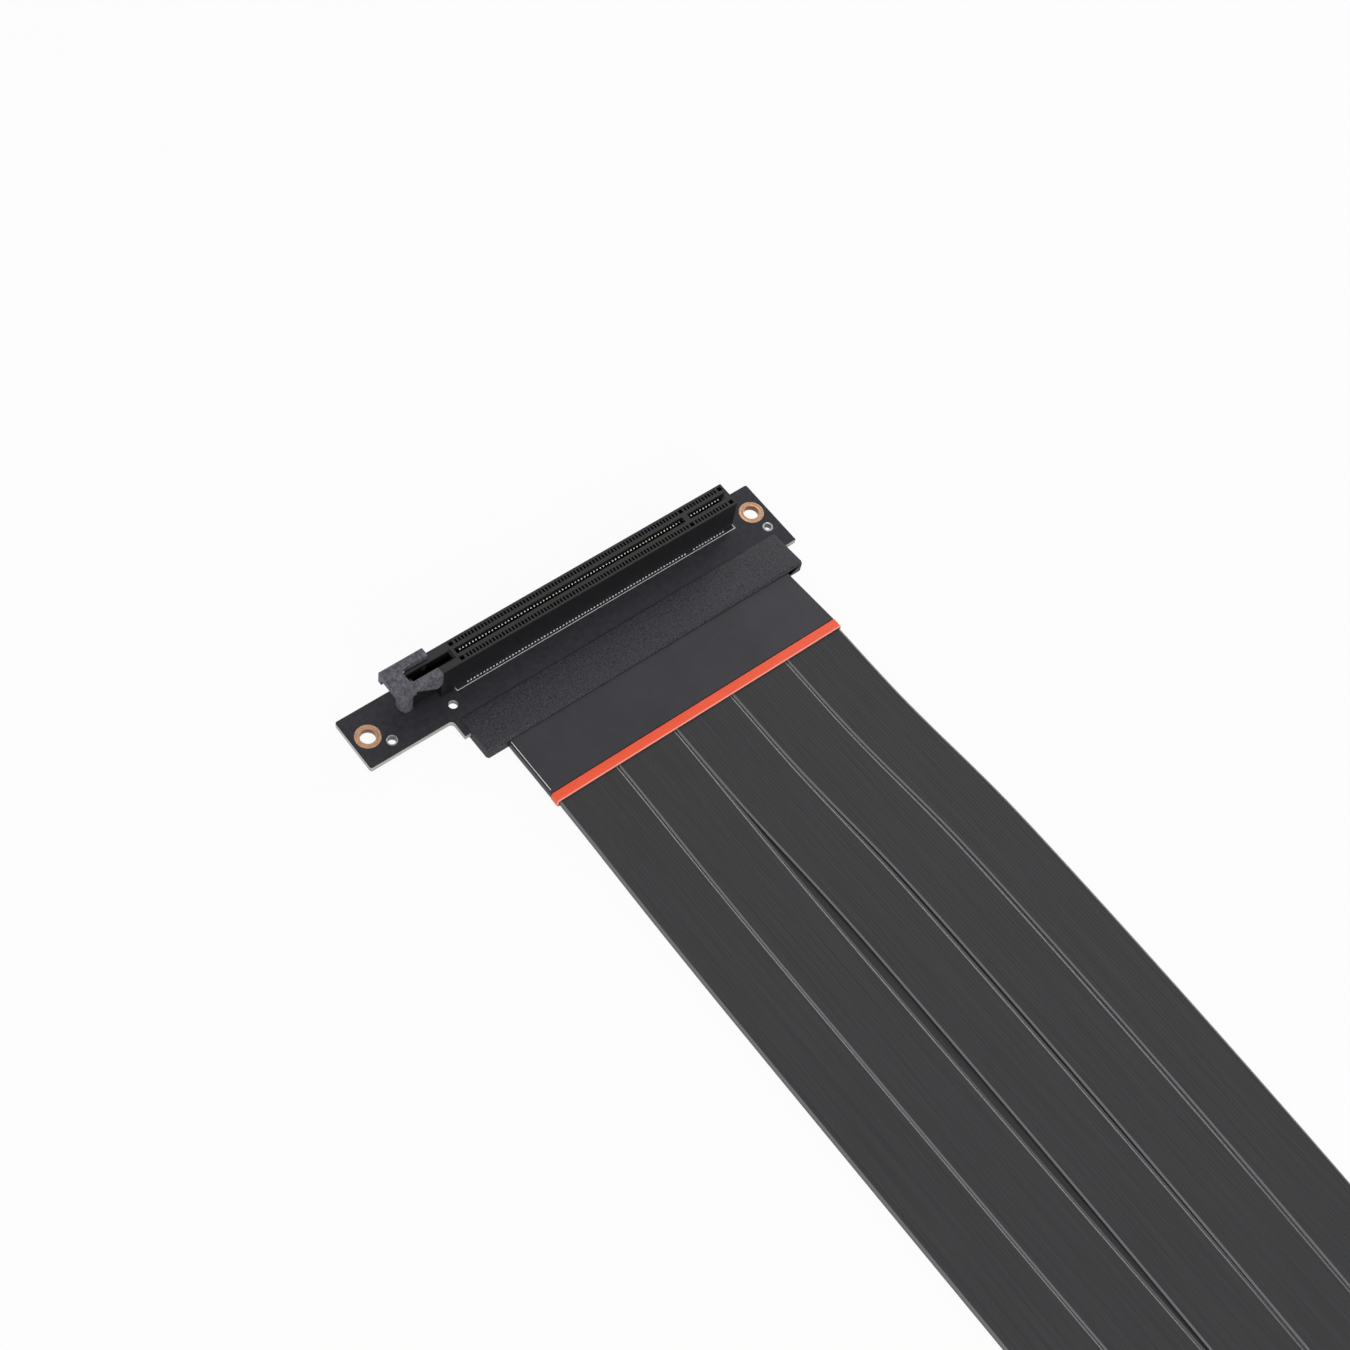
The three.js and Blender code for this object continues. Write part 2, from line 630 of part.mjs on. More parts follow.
const plugEnd = new THREE.Group();
plugEnd.position.set(0, coverNear + plugTurnY, 0);
const plugPieces = new THREE.Group();
addMesh(plugPieces, 'plug_board', plugBoard(), materials.solderMask);
addMesh(plugPieces, 'plug_cover',
  cover(plate(plugOutline(coverSideGap), -boardThickness, 0)), materials.coverPlastic);
addSleeve(plugPieces, 'plug');
for (const piece of [...plugPieces.children]) {
  piece.geometry = mirrored(piece.geometry);
  plugEnd.add(piece);
}
riser.add(plugEnd);

const model = new THREE.Group();
model.add(riser);

export default model;
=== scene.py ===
import math

import bmesh
import bpy
from mathutils import Matrix, Vector


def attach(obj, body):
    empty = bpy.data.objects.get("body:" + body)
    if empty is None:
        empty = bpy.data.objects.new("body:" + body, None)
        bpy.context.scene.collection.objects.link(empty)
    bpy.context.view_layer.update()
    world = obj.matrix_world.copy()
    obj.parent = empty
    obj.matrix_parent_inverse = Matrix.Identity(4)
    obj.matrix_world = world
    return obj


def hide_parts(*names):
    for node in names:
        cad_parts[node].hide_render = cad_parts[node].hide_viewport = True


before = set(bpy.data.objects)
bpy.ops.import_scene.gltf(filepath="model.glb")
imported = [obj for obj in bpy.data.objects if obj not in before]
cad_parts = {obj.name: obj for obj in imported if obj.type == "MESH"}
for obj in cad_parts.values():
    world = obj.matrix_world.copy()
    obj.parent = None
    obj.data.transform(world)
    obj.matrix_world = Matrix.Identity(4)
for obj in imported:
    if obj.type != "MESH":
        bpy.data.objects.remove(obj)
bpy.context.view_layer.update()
scene = bpy.context.scene
scene.view_settings.view_transform = "Standard"

mm = 0.001
# contact 82 on the top of the board: the pieces are measured from here, in millimetres
slotOrigin = Vector((-31.875, 170.875, 3.0))
plugTurnY = -347.2  # the plug end is the socket end turned over at this Y


def place(x, y, z):
    return (slotOrigin + Vector((x, y, z))) * mm


# the camera stands where the photograph was taken from

cameraView = {
    "place": (-230.65, -70.46, 509.60),
    "target": (14.30, 140.67, 0.0),
    "roll": 13.0,
    "lens": 62.78,
    "sensor": 36.0,
    "nearest": 0.01,
}


def makeCamera(view):
    camera = bpy.data.objects.new("camera", bpy.data.cameras.new("camera"))
    camera.data.lens = view["lens"]
    camera.data.sensor_width = view["sensor"]
    camera.data.clip_start = view["nearest"]
    start = Vector(view["place"]) * mm
    line = Vector(view["target"]) * mm - start
    turn = line.to_track_quat("-Z", "Y").to_matrix().to_4x4()
    roll = Matrix.Rotation(math.radians(view["roll"]), 4, "Z")
    camera.matrix_world = Matrix.Translation(start) @ turn @ roll
    scene.collection.objects.link(camera)
    scene.camera = camera


makeCamera(cameraView)
print("camera placed")


# helpers for meshes and for node trees

def meshObject(name, vertices, faces, edges=()):
    mesh = bpy.data.meshes.new(name)
    mesh.from_pydata([tuple(v) for v in vertices], list(edges), faces)
    mesh.update()
    piece = bpy.data.objects.new(name, mesh)
    scene.collection.objects.link(piece)
    return piece


def cleanNormals(piece, mergeDistance=1e-7):
    work = bmesh.new()
    work.from_mesh(piece.data)
    bmesh.ops.remove_doubles(work, verts=work.verts, dist=mergeDistance)
    bmesh.ops.recalc_face_normals(work, faces=work.faces)
    work.to_mesh(piece.data)
    work.free()


def smoothByAngle(piece, degrees=40):
    piece.data.shade_smooth()
    piece.data.set_sharp_from_angle(angle=math.radians(degrees))


# the second look is painted light: a painted highlight on ribbon shoulders, band edges and contact tips,
# painted shade on the walls of plated holes
def markPaintedLight(piece, values):  # where a piece takes its finish's second look
    layer = piece.data.attributes.new("paintedLight", "FLOAT", "POINT")
    layer.data.foreach_set("value", values)


def bakeModifiers(piece):
    ready = piece.evaluated_get(bpy.context.evaluated_depsgraph_get())
    mesh = bpy.data.meshes.new_from_object(ready)
    piece.modifiers.clear()
    piece.data = mesh


def finished(piece, material, body="riser", replaces=()):
    piece.data.materials.clear()
    piece.data.materials.append(material)
    if replaces:
        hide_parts(*replaces)
    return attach(piece, body)


def addNode(tree, kind, inputs=(), **settings):
    node = tree.nodes.new(kind)
    for key, value in settings.items():
        setattr(node, key, value)
    for socket, value in dict(inputs).items():
        if isinstance(value, bpy.types.NodeSocket):
            tree.links.new(value, node.inputs[socket])
        else:
            node.inputs[socket].default_value = value
    return node


def calc(tree, operation, a, b=0.0):
    return addNode(tree, "ShaderNodeMath", {0: a, 1: b}, operation=operation).outputs[0]


def newTree(name, sizes):
    tree = bpy.data.node_groups.new(name, "GeometryNodeTree")
    face = tree.interface
    face.new_socket("Geometry", in_out="INPUT", socket_type="NodeSocketGeometry")
    for label, kind in sizes:
        face.new_socket(label, in_out="INPUT", socket_type="NodeSocket" + kind)
    face.new_socket("Geometry", in_out="OUTPUT", socket_type="NodeSocketGeometry")
    return tree, tree.nodes.new("NodeGroupInput").outputs, tree.nodes.new("NodeGroupOutput")


def growTree(piece, tree, values):
    modifier = piece.modifiers.new("shape", "NODES")
    modifier.node_group = tree
    for item in tree.interface.items_tree:
        if item.in_out == "INPUT" and item.name in values:
            modifier[item.identifier] = values[item.name]
    bakeModifiers(piece)


# finishes: two tones in a grain, its size and depth in millimetres

def screen(red, green, blue):  # a colour as a screen shows it, 0 to 255
    return [((v / 255 + 0.055) / 1.055) ** 2.4 for v in (red, green, blue)] + [1.0]


finishes = {
    "slotPlastic": {
        "dark": screen(19, 19, 21), "light": screen(31, 31, 33), "roughness": 0.42, "gloss": 0.4,
        "grain": 0.6, "relief": 0.006, "stretch": (0.4, 1, 1),
    },
    "latchPlastic": {
        "dark": screen(52, 52, 57), "light": screen(112, 111, 120), "roughness": 0.5, "gloss": 0.3,
        "grain": 0.8, "relief": 0.02, "stretch": (1, 0.8, 1), "contrast": 0.2,
    },
    "coverPlastic": {
        "dark": screen(26, 25, 29), "light": screen(74, 72, 78), "roughness": 0.62, "gloss": 0.25,
        "grain": 0.4, "relief": 0.04, "contrast": 0.18,
    },
    "sleeveFilm": {
        "dark": screen(50, 49, 54), "light": screen(60, 59, 64), "roughness": 0.46, "gloss": 0.25,
        "grain": 9.0, "relief": 0.02, "contrast": 0.3,
    },
    # pale colour of the film's cut-edge bead: a painted highlight
    "paintedEdgeHighlight": {
        "dark": screen(176, 176, 178), "light": screen(226, 226, 228), "roughness": 0.5,
        "grain": 1.0, "relief": 0.01, "stretch": (1, 0.2, 1),
    },
    # near-black strip beside the edge bead: painted shade
    "paintedEdgeShade": {
        "dark": screen(12, 12, 14), "light": screen(22, 22, 24), "roughness": 0.5, "gloss": 0.2,
        "grain": 1.0, "relief": 0.01, "stretch": (1, 0.2, 1),
    },
    "bandFilm": {
        "dark": screen(250, 82, 46), "light": screen(255, 98, 62), "roughness": 0.5,
        "grain": 0.5, "relief": 0.006, "stretch": (0.3, 1, 1),
        # the pale pink second tone is a painted highlight along the band's near edge
        "paintedLightTone": screen(255, 168, 150), "paintedLightRoughness": 0.5,
    },
    "ribbonJacket": {
        "dark": screen(41, 41, 43), "light": screen(54, 54, 56), "roughness": 0.42, "gloss": 0.3,
        "grain": 0.7, "relief": 0.006, "stretch": (1, 0.02, 1),
        # the paler second tone is a painted highlight on the strips' sloped shoulders
        "paintedLightTone": screen(112, 112, 114), "paintedLightRoughness": 0.24,
    },
    "goldPlate": {
        "dark": screen(186, 140, 70), "light": screen(240, 204, 136), "roughness": 0.28,
        "grain": 0.3, "relief": 0.002, "metallic": 1.0,
        # the near-white second tone is a painted highlight on the contact tips
        "paintedLightTone": screen(252, 248, 238), "paintedLightRoughness": 0.4,
    },
    "bareCopper": {
        "dark": screen(164, 124, 96), "light": screen(206, 166, 136), "roughness": 0.4,
        "grain": 0.5, "relief": 0.006, "metallic": 0.85,
        # the darker second tone is painted shade on the bore wall inside the hole
        "paintedLightTone": screen(120, 82, 58), "paintedLightRoughness": 0.3,
    },
    "tinPlate": {
        "dark": screen(150, 151, 155), "light": screen(208, 209, 212), "roughness": 0.34,
        "grain": 0.5, "relief": 0.01, "metallic": 0.7,
        # the darker second tone is painted shade on the bore wall inside the hole
        "paintedLightTone": screen(96, 96, 99), "paintedLightRoughness": 0.4,
    },
    # solder painted plain white, brighter than the tin's own grey: a painted highlight in place of the
    # metal's shine
    "solderPaintedShine": {
        "dark": screen(250, 250, 250), "light": screen(255, 255, 255), "roughness": 0.3,
        "grain": 0.3, "relief": 0.004,
    },
    "whiteInk": {
        "dark": screen(236, 236, 238), "light": screen(252, 252, 252), "roughness": 0.6,
        "grain": 0.4, "relief": 0.004,
    },
    "solderMask": {
        "dark": screen(46, 45, 50), "light": screen(60, 59, 64), "roughness": 0.46, "gloss": 0.15,
        "grain": 1.6, "relief": 0.006,
    },
}

# what a finish takes where it says nothing else, and the wide clouds in every sheen
usualLook = {
    "metallic": 0.0, "gloss": 0.5, "stretch": (1, 1, 1), "contrast": 0.25,
    "detail": 3.0, "grainRoughness": 0.6, "cloudSize": 14.0, "cloudDetail": 2.0, "cloudChange": 0.12,
}


def grainNoise(tree, spots, size, detail=usualLook["detail"]):
    noise = addNode(tree, "ShaderNodeTexNoise", {
        "Vector": spots, "Scale": 1 / (size * mm), "Detail": detail,
        "Roughness": usualLook["grainRoughness"]})
    return noise.outputs["Fac"]


def spread(tree, value, width):  # pulls the middle of a noise out to the whole range 0 to 1
    remap = addNode(tree, "ShaderNodeMapRange", {
        "Value": value, "From Min": 0.5 - width, "From Max": 0.5 + width})
    return remap.outputs["Result"]


def newFinish(name):
    look = {**usualLook, **finishes[name]}
    material = bpy.data.materials.new(name)
    material.use_nodes = True
    tree = material.node_tree
    shader = tree.nodes["Principled BSDF"]
    shader.inputs["Metallic"].default_value = look["metallic"]
    shader.inputs["Specular IOR Level"].default_value = look["gloss"]
    spots = addNode(tree, "ShaderNodeTexCoord").outputs["Object"]
    stretched = addNode(tree, "ShaderNodeMapping", {
        "Vector": spots, "Scale": look["stretch"]}).outputs["Vector"]
    grain = grainNoise(tree, stretched, look["grain"])
    clouds = grainNoise(tree, spots, look["cloudSize"], look["cloudDetail"])
    tone = addNode(tree, "ShaderNodeMix", {
        "Factor": spread(tree, grain, look["contrast"]),
        "A": look["dark"], "B": look["light"]}, data_type="RGBA")
    sheen = calc(tree, "MULTIPLY_ADD", clouds, look["cloudChange"])
    sheen.node.inputs[2].default_value = look["roughness"] - look["cloudChange"] / 2
    # blend towards the finish's second tone where the piece marks it: painted light, a painted highlight
    # for some finishes and painted shade for others
    if "paintedLightTone" in look:
        paintedLight = addNode(tree, "ShaderNodeAttribute", attribute_name="paintedLight").outputs["Fac"]
        tone = addNode(tree, "ShaderNodeMix", {
            "Factor": paintedLight, "A": tone.outputs["Result"], "B": look["paintedLightTone"]}, data_type="RGBA")
        change = calc(tree, "MULTIPLY", paintedLight, look["paintedLightRoughness"] - look["roughness"])
        sheen = calc(tree, "ADD", sheen, change)
    tree.links.new(tone.outputs["Result"], shader.inputs["Base Color"])
    tree.links.new(sheen, shader.inputs["Roughness"])
    bump = addNode(tree, "ShaderNodeBump", {
        "Height": grain, "Distance": look["relief"] * mm, "Strength": 1.0})
    tree.links.new(bump.outputs["Normal"], shader.inputs["Normal"])
    return material


board = {
    "fibre": screen(214, 213, 208),
    "fibreDark": screen(136, 135, 131),
    "fibreGrain": 0.5,
    "fibreContrast": 0.2,
    "layerStretch": (0.05, 0.05, 1),
    "edgeFacing": 0.5,  # faces that look less than this up or down are the cut edge
}


def newBoardFinish():
    material = newFinish("solderMask")
    tree = material.node_tree
    shader = tree.nodes["Principled BSDF"]
    coordinates = addNode(tree, "ShaderNodeTexCoord")
    facing = addNode(tree, "ShaderNodeSeparateXYZ", {0: coordinates.outputs["Normal"]})
    onEdge = calc(tree, "LESS_THAN", calc(tree, "ABSOLUTE", facing.outputs["Z"]), board["edgeFacing"])
    mask = shader.inputs["Base Color"].links[0].from_socket
    layers = addNode(tree, "ShaderNodeMapping", {
        "Vector": coordinates.outputs["Object"], "Scale": board["layerStretch"]}).outputs["Vector"]
    fibre = addNode(tree, "ShaderNodeMix", {
        "Factor": spread(tree, grainNoise(tree, layers, board["fibreGrain"]), board["fibreContrast"]),
        "A": board["fibreDark"], "B": board["fibre"]}, data_type="RGBA")
    tone = addNode(tree, "ShaderNodeMix", {
        "Factor": onEdge, "A": mask, "B": fibre.outputs["Result"]}, data_type="RGBA")
    tree.links.new(tone.outputs["Result"], shader.inputs["Base Color"])
    return material


materials = {name: newFinish(name) for name in finishes if name != "solderMask"}
materials["solderMask"] = newBoardFinish()
print("finishes made")


# ribbons: five double strips swept along one route from cover to cover

ribbons = {
    "count": 5,
    "width": 18.0,
    "thickness": 0.8,
    "gap": 0.3,
    "layerGap": 0.2,
    "corner": 0.34,
    "cornerSteps": 4,
    "wirePitch": 0.9,
    "wireHeight": 0.03,
    "shoulder": 0.5,
    "shoulderDrop": 0.22,
    "around": {"upper": 300, "lower": 150},
    "along": 90,
    "routeSteps": 5,
    "smoothAngle": 60,
    "length": 306.0,
    "startY": -20.6,
    "exitY": -44.3,
    "middleX": 44.0,
    "middleZ": -0.8,
    "splay": 1.1,
    "splayFrom": -41.4,
    "splayTo": -20.3,
    "upperFan": (-0.4, -0.65, 2.0, 2.9, 3.3),
    "lowerFan": (-0.4, -0.5, -0.75, 1.9, 2.8),
    # share of the length, rise from the board's middle and share of the sideways fan
    "route": (
        (0, 0, 0), (0.04, 0, 0), (0.08, 0, 0), (0.12, -0.35, 0.06), (0.16, -0.85, 0.2),
        (0.2, -1.15, 0.45), (0.24, -1.2, 0.72), (0.28, -1.2, 0.92), (0.33, -1.2, 1),
        (0.41, -1.2, 1), (0.5, -1.2, 0.92), (0.58, -1.2, 0.78), (0.66, -1.2, 0.58),
        (0.73, -1.2, 0.36), (0.79, -1.15, 0.18), (0.84, -0.85, 0.07), (0.88, -0.35, 0.02),
        (0.92, 0, 0), (0.96, 0, 0), (1, 0, 0),
    ),
}


def splayShare(look, y):  # 0 from the band on, 1 at the sleeve's inner end
    share = (y - look["splayFrom"]) / (look["splayTo"] - look["splayFrom"])
    return max(0.0, min(1.0, share))


def smoothRoute(points, steps):
    line = []
    for i in range(len(points) - 1):
        before, start, end, after = (
            points[max(0, min(len(points) - 1, i + k))] for k in (-1, 0, 1, 2))
        for step in range(steps):
            t = step / steps
            line.append(0.5 * (2 * start + (end - before) * t
                               + (2 * before - 5 * start + 4 * end - after) * t ** 2
                               + (3 * start - before - 3 * end + after) * t ** 3))
    return line + [points[-1]]


def makeRibbonTree():
    tree, sizes, result = newTree("ribbonStrip", [
        ("Width", "Float"), ("Thickness", "Float"), ("Corner", "Float"), ("Corner steps", "Int"),
        ("Wire pitch", "Float"), ("Wire height", "Float"), ("Shoulder", "Float"),
        ("Shoulder drop", "Float"), ("Around", "Int"), ("Along", "Int"), ("Material", "Material")])
    route = addNode(tree, "GeometryNodeMeshToCurve", {"Mesh": sizes["Geometry"]})
    route = addNode(tree, "GeometryNodeResampleCurve", {
        "Curve": route.outputs[0], "Count": sizes["Along"]})
    route = addNode(tree, "GeometryNodeSetCurveNormal", {"Curve": route.outputs[0]}, mode="Z_UP")
    outline = addNode(tree, "GeometryNodeCurvePrimitiveQuadrilateral", {
        "Width": sizes["Width"], "Height": sizes["Thickness"]})
    outline = addNode(tree, "GeometryNodeFilletCurve", {
        "Curve": outline.outputs[0], "Count": sizes["Corner steps"],
        "Radius": sizes["Corner"]}, mode="POLY")
    outline = addNode(tree, "GeometryNodeResampleCurve", {
        "Curve": outline.outputs[0], "Count": sizes["Around"]})
    # each wire lifts both faces into a low round ridge
    spot = addNode(tree, "GeometryNodeInputPosition")
    spot = addNode(tree, "ShaderNodeSeparateXYZ", {0: spot.outputs[0]})
    wires = calc(tree, "DIVIDE", spot.outputs["X"], sizes["Wire pitch"])
    phase = calc(tree, "MULTIPLY", wires, 2 * math.pi)
    hollow = calc(tree, "MULTIPLY", calc(tree, "SUBTRACT", calc(tree, "COSINE", phase), 1.0), 0.5)
    depth = calc(tree, "MULTIPLY", hollow, sizes["Wire height"])
    level = calc(tree, "DIVIDE", spot.outputs["Y"], calc(tree, "MULTIPLY", sizes["Thickness"], 0.5))
    # and both edges slope down to a thin shoulder, which takes a paler tone as a painted highlight
    half = calc(tree, "MULTIPLY", sizes["Width"], 0.5)
    past = calc(tree, "SUBTRACT", calc(tree, "ABSOLUTE", spot.outputs["X"]), half)
    over = calc(tree, "DIVIDE", calc(tree, "ADD", past, sizes["Shoulder"]), sizes["Shoulder"])
    over = calc(tree, "MAXIMUM", over, 0.0)
    height = calc(tree, "SUBTRACT", depth, calc(tree, "MULTIPLY", over, sizes["Shoulder drop"]))
    offset = addNode(tree, "ShaderNodeCombineXYZ", {"Y": calc(tree, "MULTIPLY", height, level)})
    paintedLight = calc(tree, "GREATER_THAN", over, 0.0)
    outline = addNode(tree, "GeometryNodeStoreNamedAttribute", {
        "Geometry": outline.outputs[0], "Name": "paintedLight", "Value": paintedLight}, data_type="FLOAT")
    outline = addNode(tree, "GeometryNodeSetPosition", {
        "Geometry": outline.outputs[0], "Offset": offset.outputs[0]})
    strip = addNode(tree, "GeometryNodeCurveToMesh", {
        "Curve": route.outputs[0], "Profile Curve": outline.outputs[0], "Fill Caps": True})
    strip = addNode(tree, "GeometryNodeRealizeInstances", {"Geometry": strip.outputs[0]})
    strip = addNode(tree, "GeometryNodeSetMaterial", {
        "Geometry": strip.outputs[0], "Material": sizes["Material"]})
    tree.links.new(strip.outputs[0], result.inputs[0])
    return tree


def makeRibbons(look):
    tree = makeRibbonTree()
    bundle = look["count"] * look["width"] + (look["count"] - 1) * look["gap"]
    for layer, fans, rise in (("upper", look["upperFan"], 0.5), ("lower", look["lowerFan"], -0.5)):
        lift = rise * (look["thickness"] + look["layerGap"])
        for i, fan in enumerate(fans):
            x = look["middleX"] + (look["width"] - bundle) / 2 + i * (look["width"] + look["gap"])
            points = []
            for along, drop, share in look["route"]:
                fromEnd = look["startY"] - min(along, 1 - along) * look["length"]
                drawn = look["splay"] * i / (look["count"] - 1) * splayShare(look, fromEnd)
                points.append(place(x + fan * share - drawn, look["startY"] - along * look["length"],
                                    look["middleZ"] + lift + drop))
            line = smoothRoute(points, look["routeSteps"])
            name = f"{layer}_ribbon_{i + 1}"
            strip = meshObject(f"{name}_jacket", line, (), [(k, k + 1) for k in range(len(line) - 1)])
            growTree(strip, tree, {
                "Width": look["width"] * mm, "Thickness": look["thickness"] * mm,
                "Corner": look["corner"] * mm, "Corner steps": look["cornerSteps"],
                "Wire pitch": look["wirePitch"] * mm,
                "Wire height": look["wireHeight"] * mm, "Shoulder": look["shoulder"] * mm,
                "Shoulder drop": look["shoulderDrop"] * mm, "Along": look["along"],
                "Around": look["around"][layer], "Material": materials["ribbonJacket"]})
            cleanNormals(strip)
            smoothByAngle(strip, look["smoothAngle"])
            finished(strip, materials["ribbonJacket"], replaces=[name])


makeRibbons(ribbons)
print("ribbons laid")


# floor, world and lamps

studio = {
    "floorSize": 6.0,
    "floorLevel": -0.0002,
    "floorTone": 0.82,
    "floorRoughness": 0.9,
    "floorGloss": 0.1,
    "floorWhite": 0.94,
    "worldLight": 0.5,
    "lamps": {
        # place, what it points at, width, depth, power
        "front": ((-0.45, -0.95, 0.75), (0.0, 0.10, 0.0), 0.9, 0.7, 7.6),
        "rightSide": ((1.0, 0.40, 0.34), (0.02, 0.08, 0.0), 0.9, 0.4, 4.3),
        "leftBack": ((-0.95, 0.60, 0.46), (0.0, 0.17, 0.01), 0.5, 0.5, 1.3),
    },
}


def whiteForView(tree, lit, white):  # what camera, gloss and glass rays see in place of the lit one
    path = addNode(tree, "ShaderNodeLightPath")
    seen = calc(tree, "MAXIMUM", path.outputs["Is Camera Ray"], path.outputs["Is Glossy Ray"])
    seen = calc(tree, "MAXIMUM", seen, path.outputs["Is Transmission Ray"])
    return addNode(tree, "ShaderNodeMixShader", {
        0: calc(tree, "MULTIPLY", seen, white[1]), 1: lit, 2: white[0]}).outputs[0]


def makeStudio(look):
    half = look["floorSize"] / 2
    corners = ((-half, -half), (half, -half), (half, half), (-half, half))
    floor = meshObject("floor", [(x, y, look["floorLevel"]) for x, y in corners], [(0, 1, 2, 3)])
    paper = bpy.data.materials.new("floorPaper")
    paper.use_nodes = True
    tree = paper.node_tree
    shader = tree.nodes["Principled BSDF"]
    shader.inputs["Base Color"].default_value = [look["floorTone"]] * 3 + [1]
    shader.inputs["Roughness"].default_value = look["floorRoughness"]
    shader.inputs["Specular IOR Level"].default_value = look["floorGloss"]
    glow = addNode(tree, "ShaderNodeEmission", {"Color": (1, 1, 1, 1), "Strength": 1.0})
    mixed = whiteForView(tree, shader.outputs[0], (glow.outputs[0], look["floorWhite"]))
    tree.links.new(mixed, tree.nodes["Material Output"].inputs["Surface"])
    floor.data.materials.append(paper)

    world = bpy.data.worlds.new("studio")
    scene.world = world
    world.use_nodes = True
    tree = world.node_tree
    lit = tree.nodes["Background"]
    lit.inputs["Color"].default_value = (1, 1, 1, 1)
    lit.inputs["Strength"].default_value = look["worldLight"]
    white = addNode(tree, "ShaderNodeBackground", {"Color": (1, 1, 1, 1), "Strength": 1.0})
    mixed = whiteForView(tree, lit.outputs[0], (white.outputs[0], 1.0))
    tree.links.new(mixed, tree.nodes["World Output"].inputs["Surface"])

    for name, (start, aim, width, depth, power) in look["lamps"].items():
        lamp = bpy.data.objects.new(name, bpy.data.lights.new(name, "AREA"))
        lamp.data.shape = "RECTANGLE"
        lamp.data.size = width
        lamp.data.size_y = depth
        lamp.data.energy = power
        turn = (Vector(aim) - Vector(start)).to_track_quat("-Z", "Y").to_matrix().to_4x4()
        lamp.matrix_world = Matrix.Translation(start) @ turn
        scene.collection.objects.link(lamp)


makeStudio(studio)
print("studio lit")


# what repeats along the slot stands in one row: a part is made at contact 82 and set out along X

contactRow = {"count": 82, "pitch": 1.0, "long": 71, "keyGap": 3.0}


def makeRowTree():
    tree, sizes, result = newTree("contactRow", [
        ("Count", "Int"), ("Pitch", "Float"), ("Long count", "Int"), ("Key gap", "Float"),
        ("Looseness", "Float"), ("Seed", "Int"), ("Material", "Material")])
    step = addNode(tree, "ShaderNodeCombineXYZ", {"X": sizes["Pitch"]})
    row = addNode(tree, "GeometryNodeMeshLine", {
        "Count": sizes["Count"], "Offset": step.outputs[0]})
    number = addNode(tree, "GeometryNodeInputIndex").outputs[0]
    pastKey = calc(tree, "SUBTRACT", 1.0, calc(tree, "LESS_THAN", number, sizes["Long count"]))
    jump = calc(tree, "MULTIPLY", pastKey, calc(tree, "SUBTRACT", sizes["Key gap"], sizes["Pitch"]))
    loose = addNode(tree, "FunctionNodeRandomValue", {
        "Min": (-1, -1, -1), "Max": (1, 1, 1), "Seed": sizes["Seed"]}, data_type="FLOAT_VECTOR")
    loose = addNode(tree, "ShaderNodeVectorMath", {
        0: loose.outputs[0], "Scale": sizes["Looseness"]}, operation="SCALE")
    shift = addNode(tree, "ShaderNodeCombineXYZ", {"X": jump})
    shift = addNode(tree, "ShaderNodeVectorMath", {0: shift.outputs[0], 1: loose.outputs[0]})
    row = addNode(tree, "GeometryNodeSetPosition", {
        "Geometry": row.outputs[0], "Offset": shift.outputs[0]})
    parts = addNode(tree, "GeometryNodeInstanceOnPoints", {
        "Points": row.outputs[0], "Instance": sizes["Geometry"]})
    parts = addNode(tree, "GeometryNodeRealizeInstances", {"Geometry": parts.outputs[0]})
    parts = addNode(tree, "GeometryNodeSetMaterial", {
        "Geometry": parts.outputs[0], "Material": sizes["Material"]})
    tree.links.new(parts.outputs[0], result.inputs[0])
    return tree


rowTree = makeRowTree()


def makeRow(name, vertices, faces, paintedLights, material, looseness=0.0, seed=3, degrees=40, slot=None):
    piece = meshObject(name, vertices, faces)
    markPaintedLight(piece, paintedLights or [0.0] * len(vertices))
    cleanNormals(piece, mergeDistance=1e-8)
    growTree(piece, rowTree, {
        "Count": contactRow["count"], "Pitch": contactRow["pitch"] * mm,
        "Long count": contactRow["long"], "Key gap": contactRow["keyGap"] * mm,
        "Looseness": looseness * mm, "Seed": seed, "Material": material})
    smoothByAngle(piece, degrees)
    return finished(piece, material)


contacts = {
    # Y and Z down the far blade from its flared tip, half its width there and the share of the pale
    # painted highlight on the tip
    "line": ((0.80, 9.68, 0.17, 1), (0.56, 9.54, 0.19, 1), (0.50, 9.42, 0.2, 0), (0.47, 8.9, 0.2, 0),
             (0.42, 8.2, 0.21, 0), (0.44, 7.6, 0.22, 0), (0.58, 6.4, 0.22, 0), (0.70, 5.2, 0.22, 0),
             (0.76, 3.3, 0.22, 0)),
    "thickness": 0.1,
    "looseness": 0.03,
    "seeds": {"far": 6, "near": 4},
}


def bladeMesh(look, side):
    half = look["thickness"] / 2
    rings, paintedLights = [], []
    for y, z, width, paintedLight in look["line"]:
        rings += [place(x, side * (y + reach), z) for x, reach in (
            (-width, -half), (width, -half), (width, half), (-width, half))]
        paintedLights += [paintedLight] * 4
    faces = [(0, 1, 2, 3)]
    count = len(look["line"])
    for start in range(0, 4 * count - 4, 4):
        faces += [(start + a, start + (a + 1) % 4, start + 4 + (a + 1) % 4, start + 4 + a)
                  for a in range(4)]
    faces.append(tuple(4 * count - 1 - a for a in range(4)))
    return rings, faces, paintedLights


for side, word in ((1, "far"), (-1, "near")):
    makeRow(f"{word}_contacts", *bladeMesh(contacts, side), materials["goldPlate"],
            looseness=contacts["looseness"], seed=contacts["seeds"][word], slot="copper_pad")

solder = {
    "width": 0.56, "length": 0.66, "height": 0.36, "y": 3.6, "rings": 4, "sides": 12,
    "looseness": 0.02, "seeds": {"far": 12, "near": 10}, "smoothAngle": 60,
}


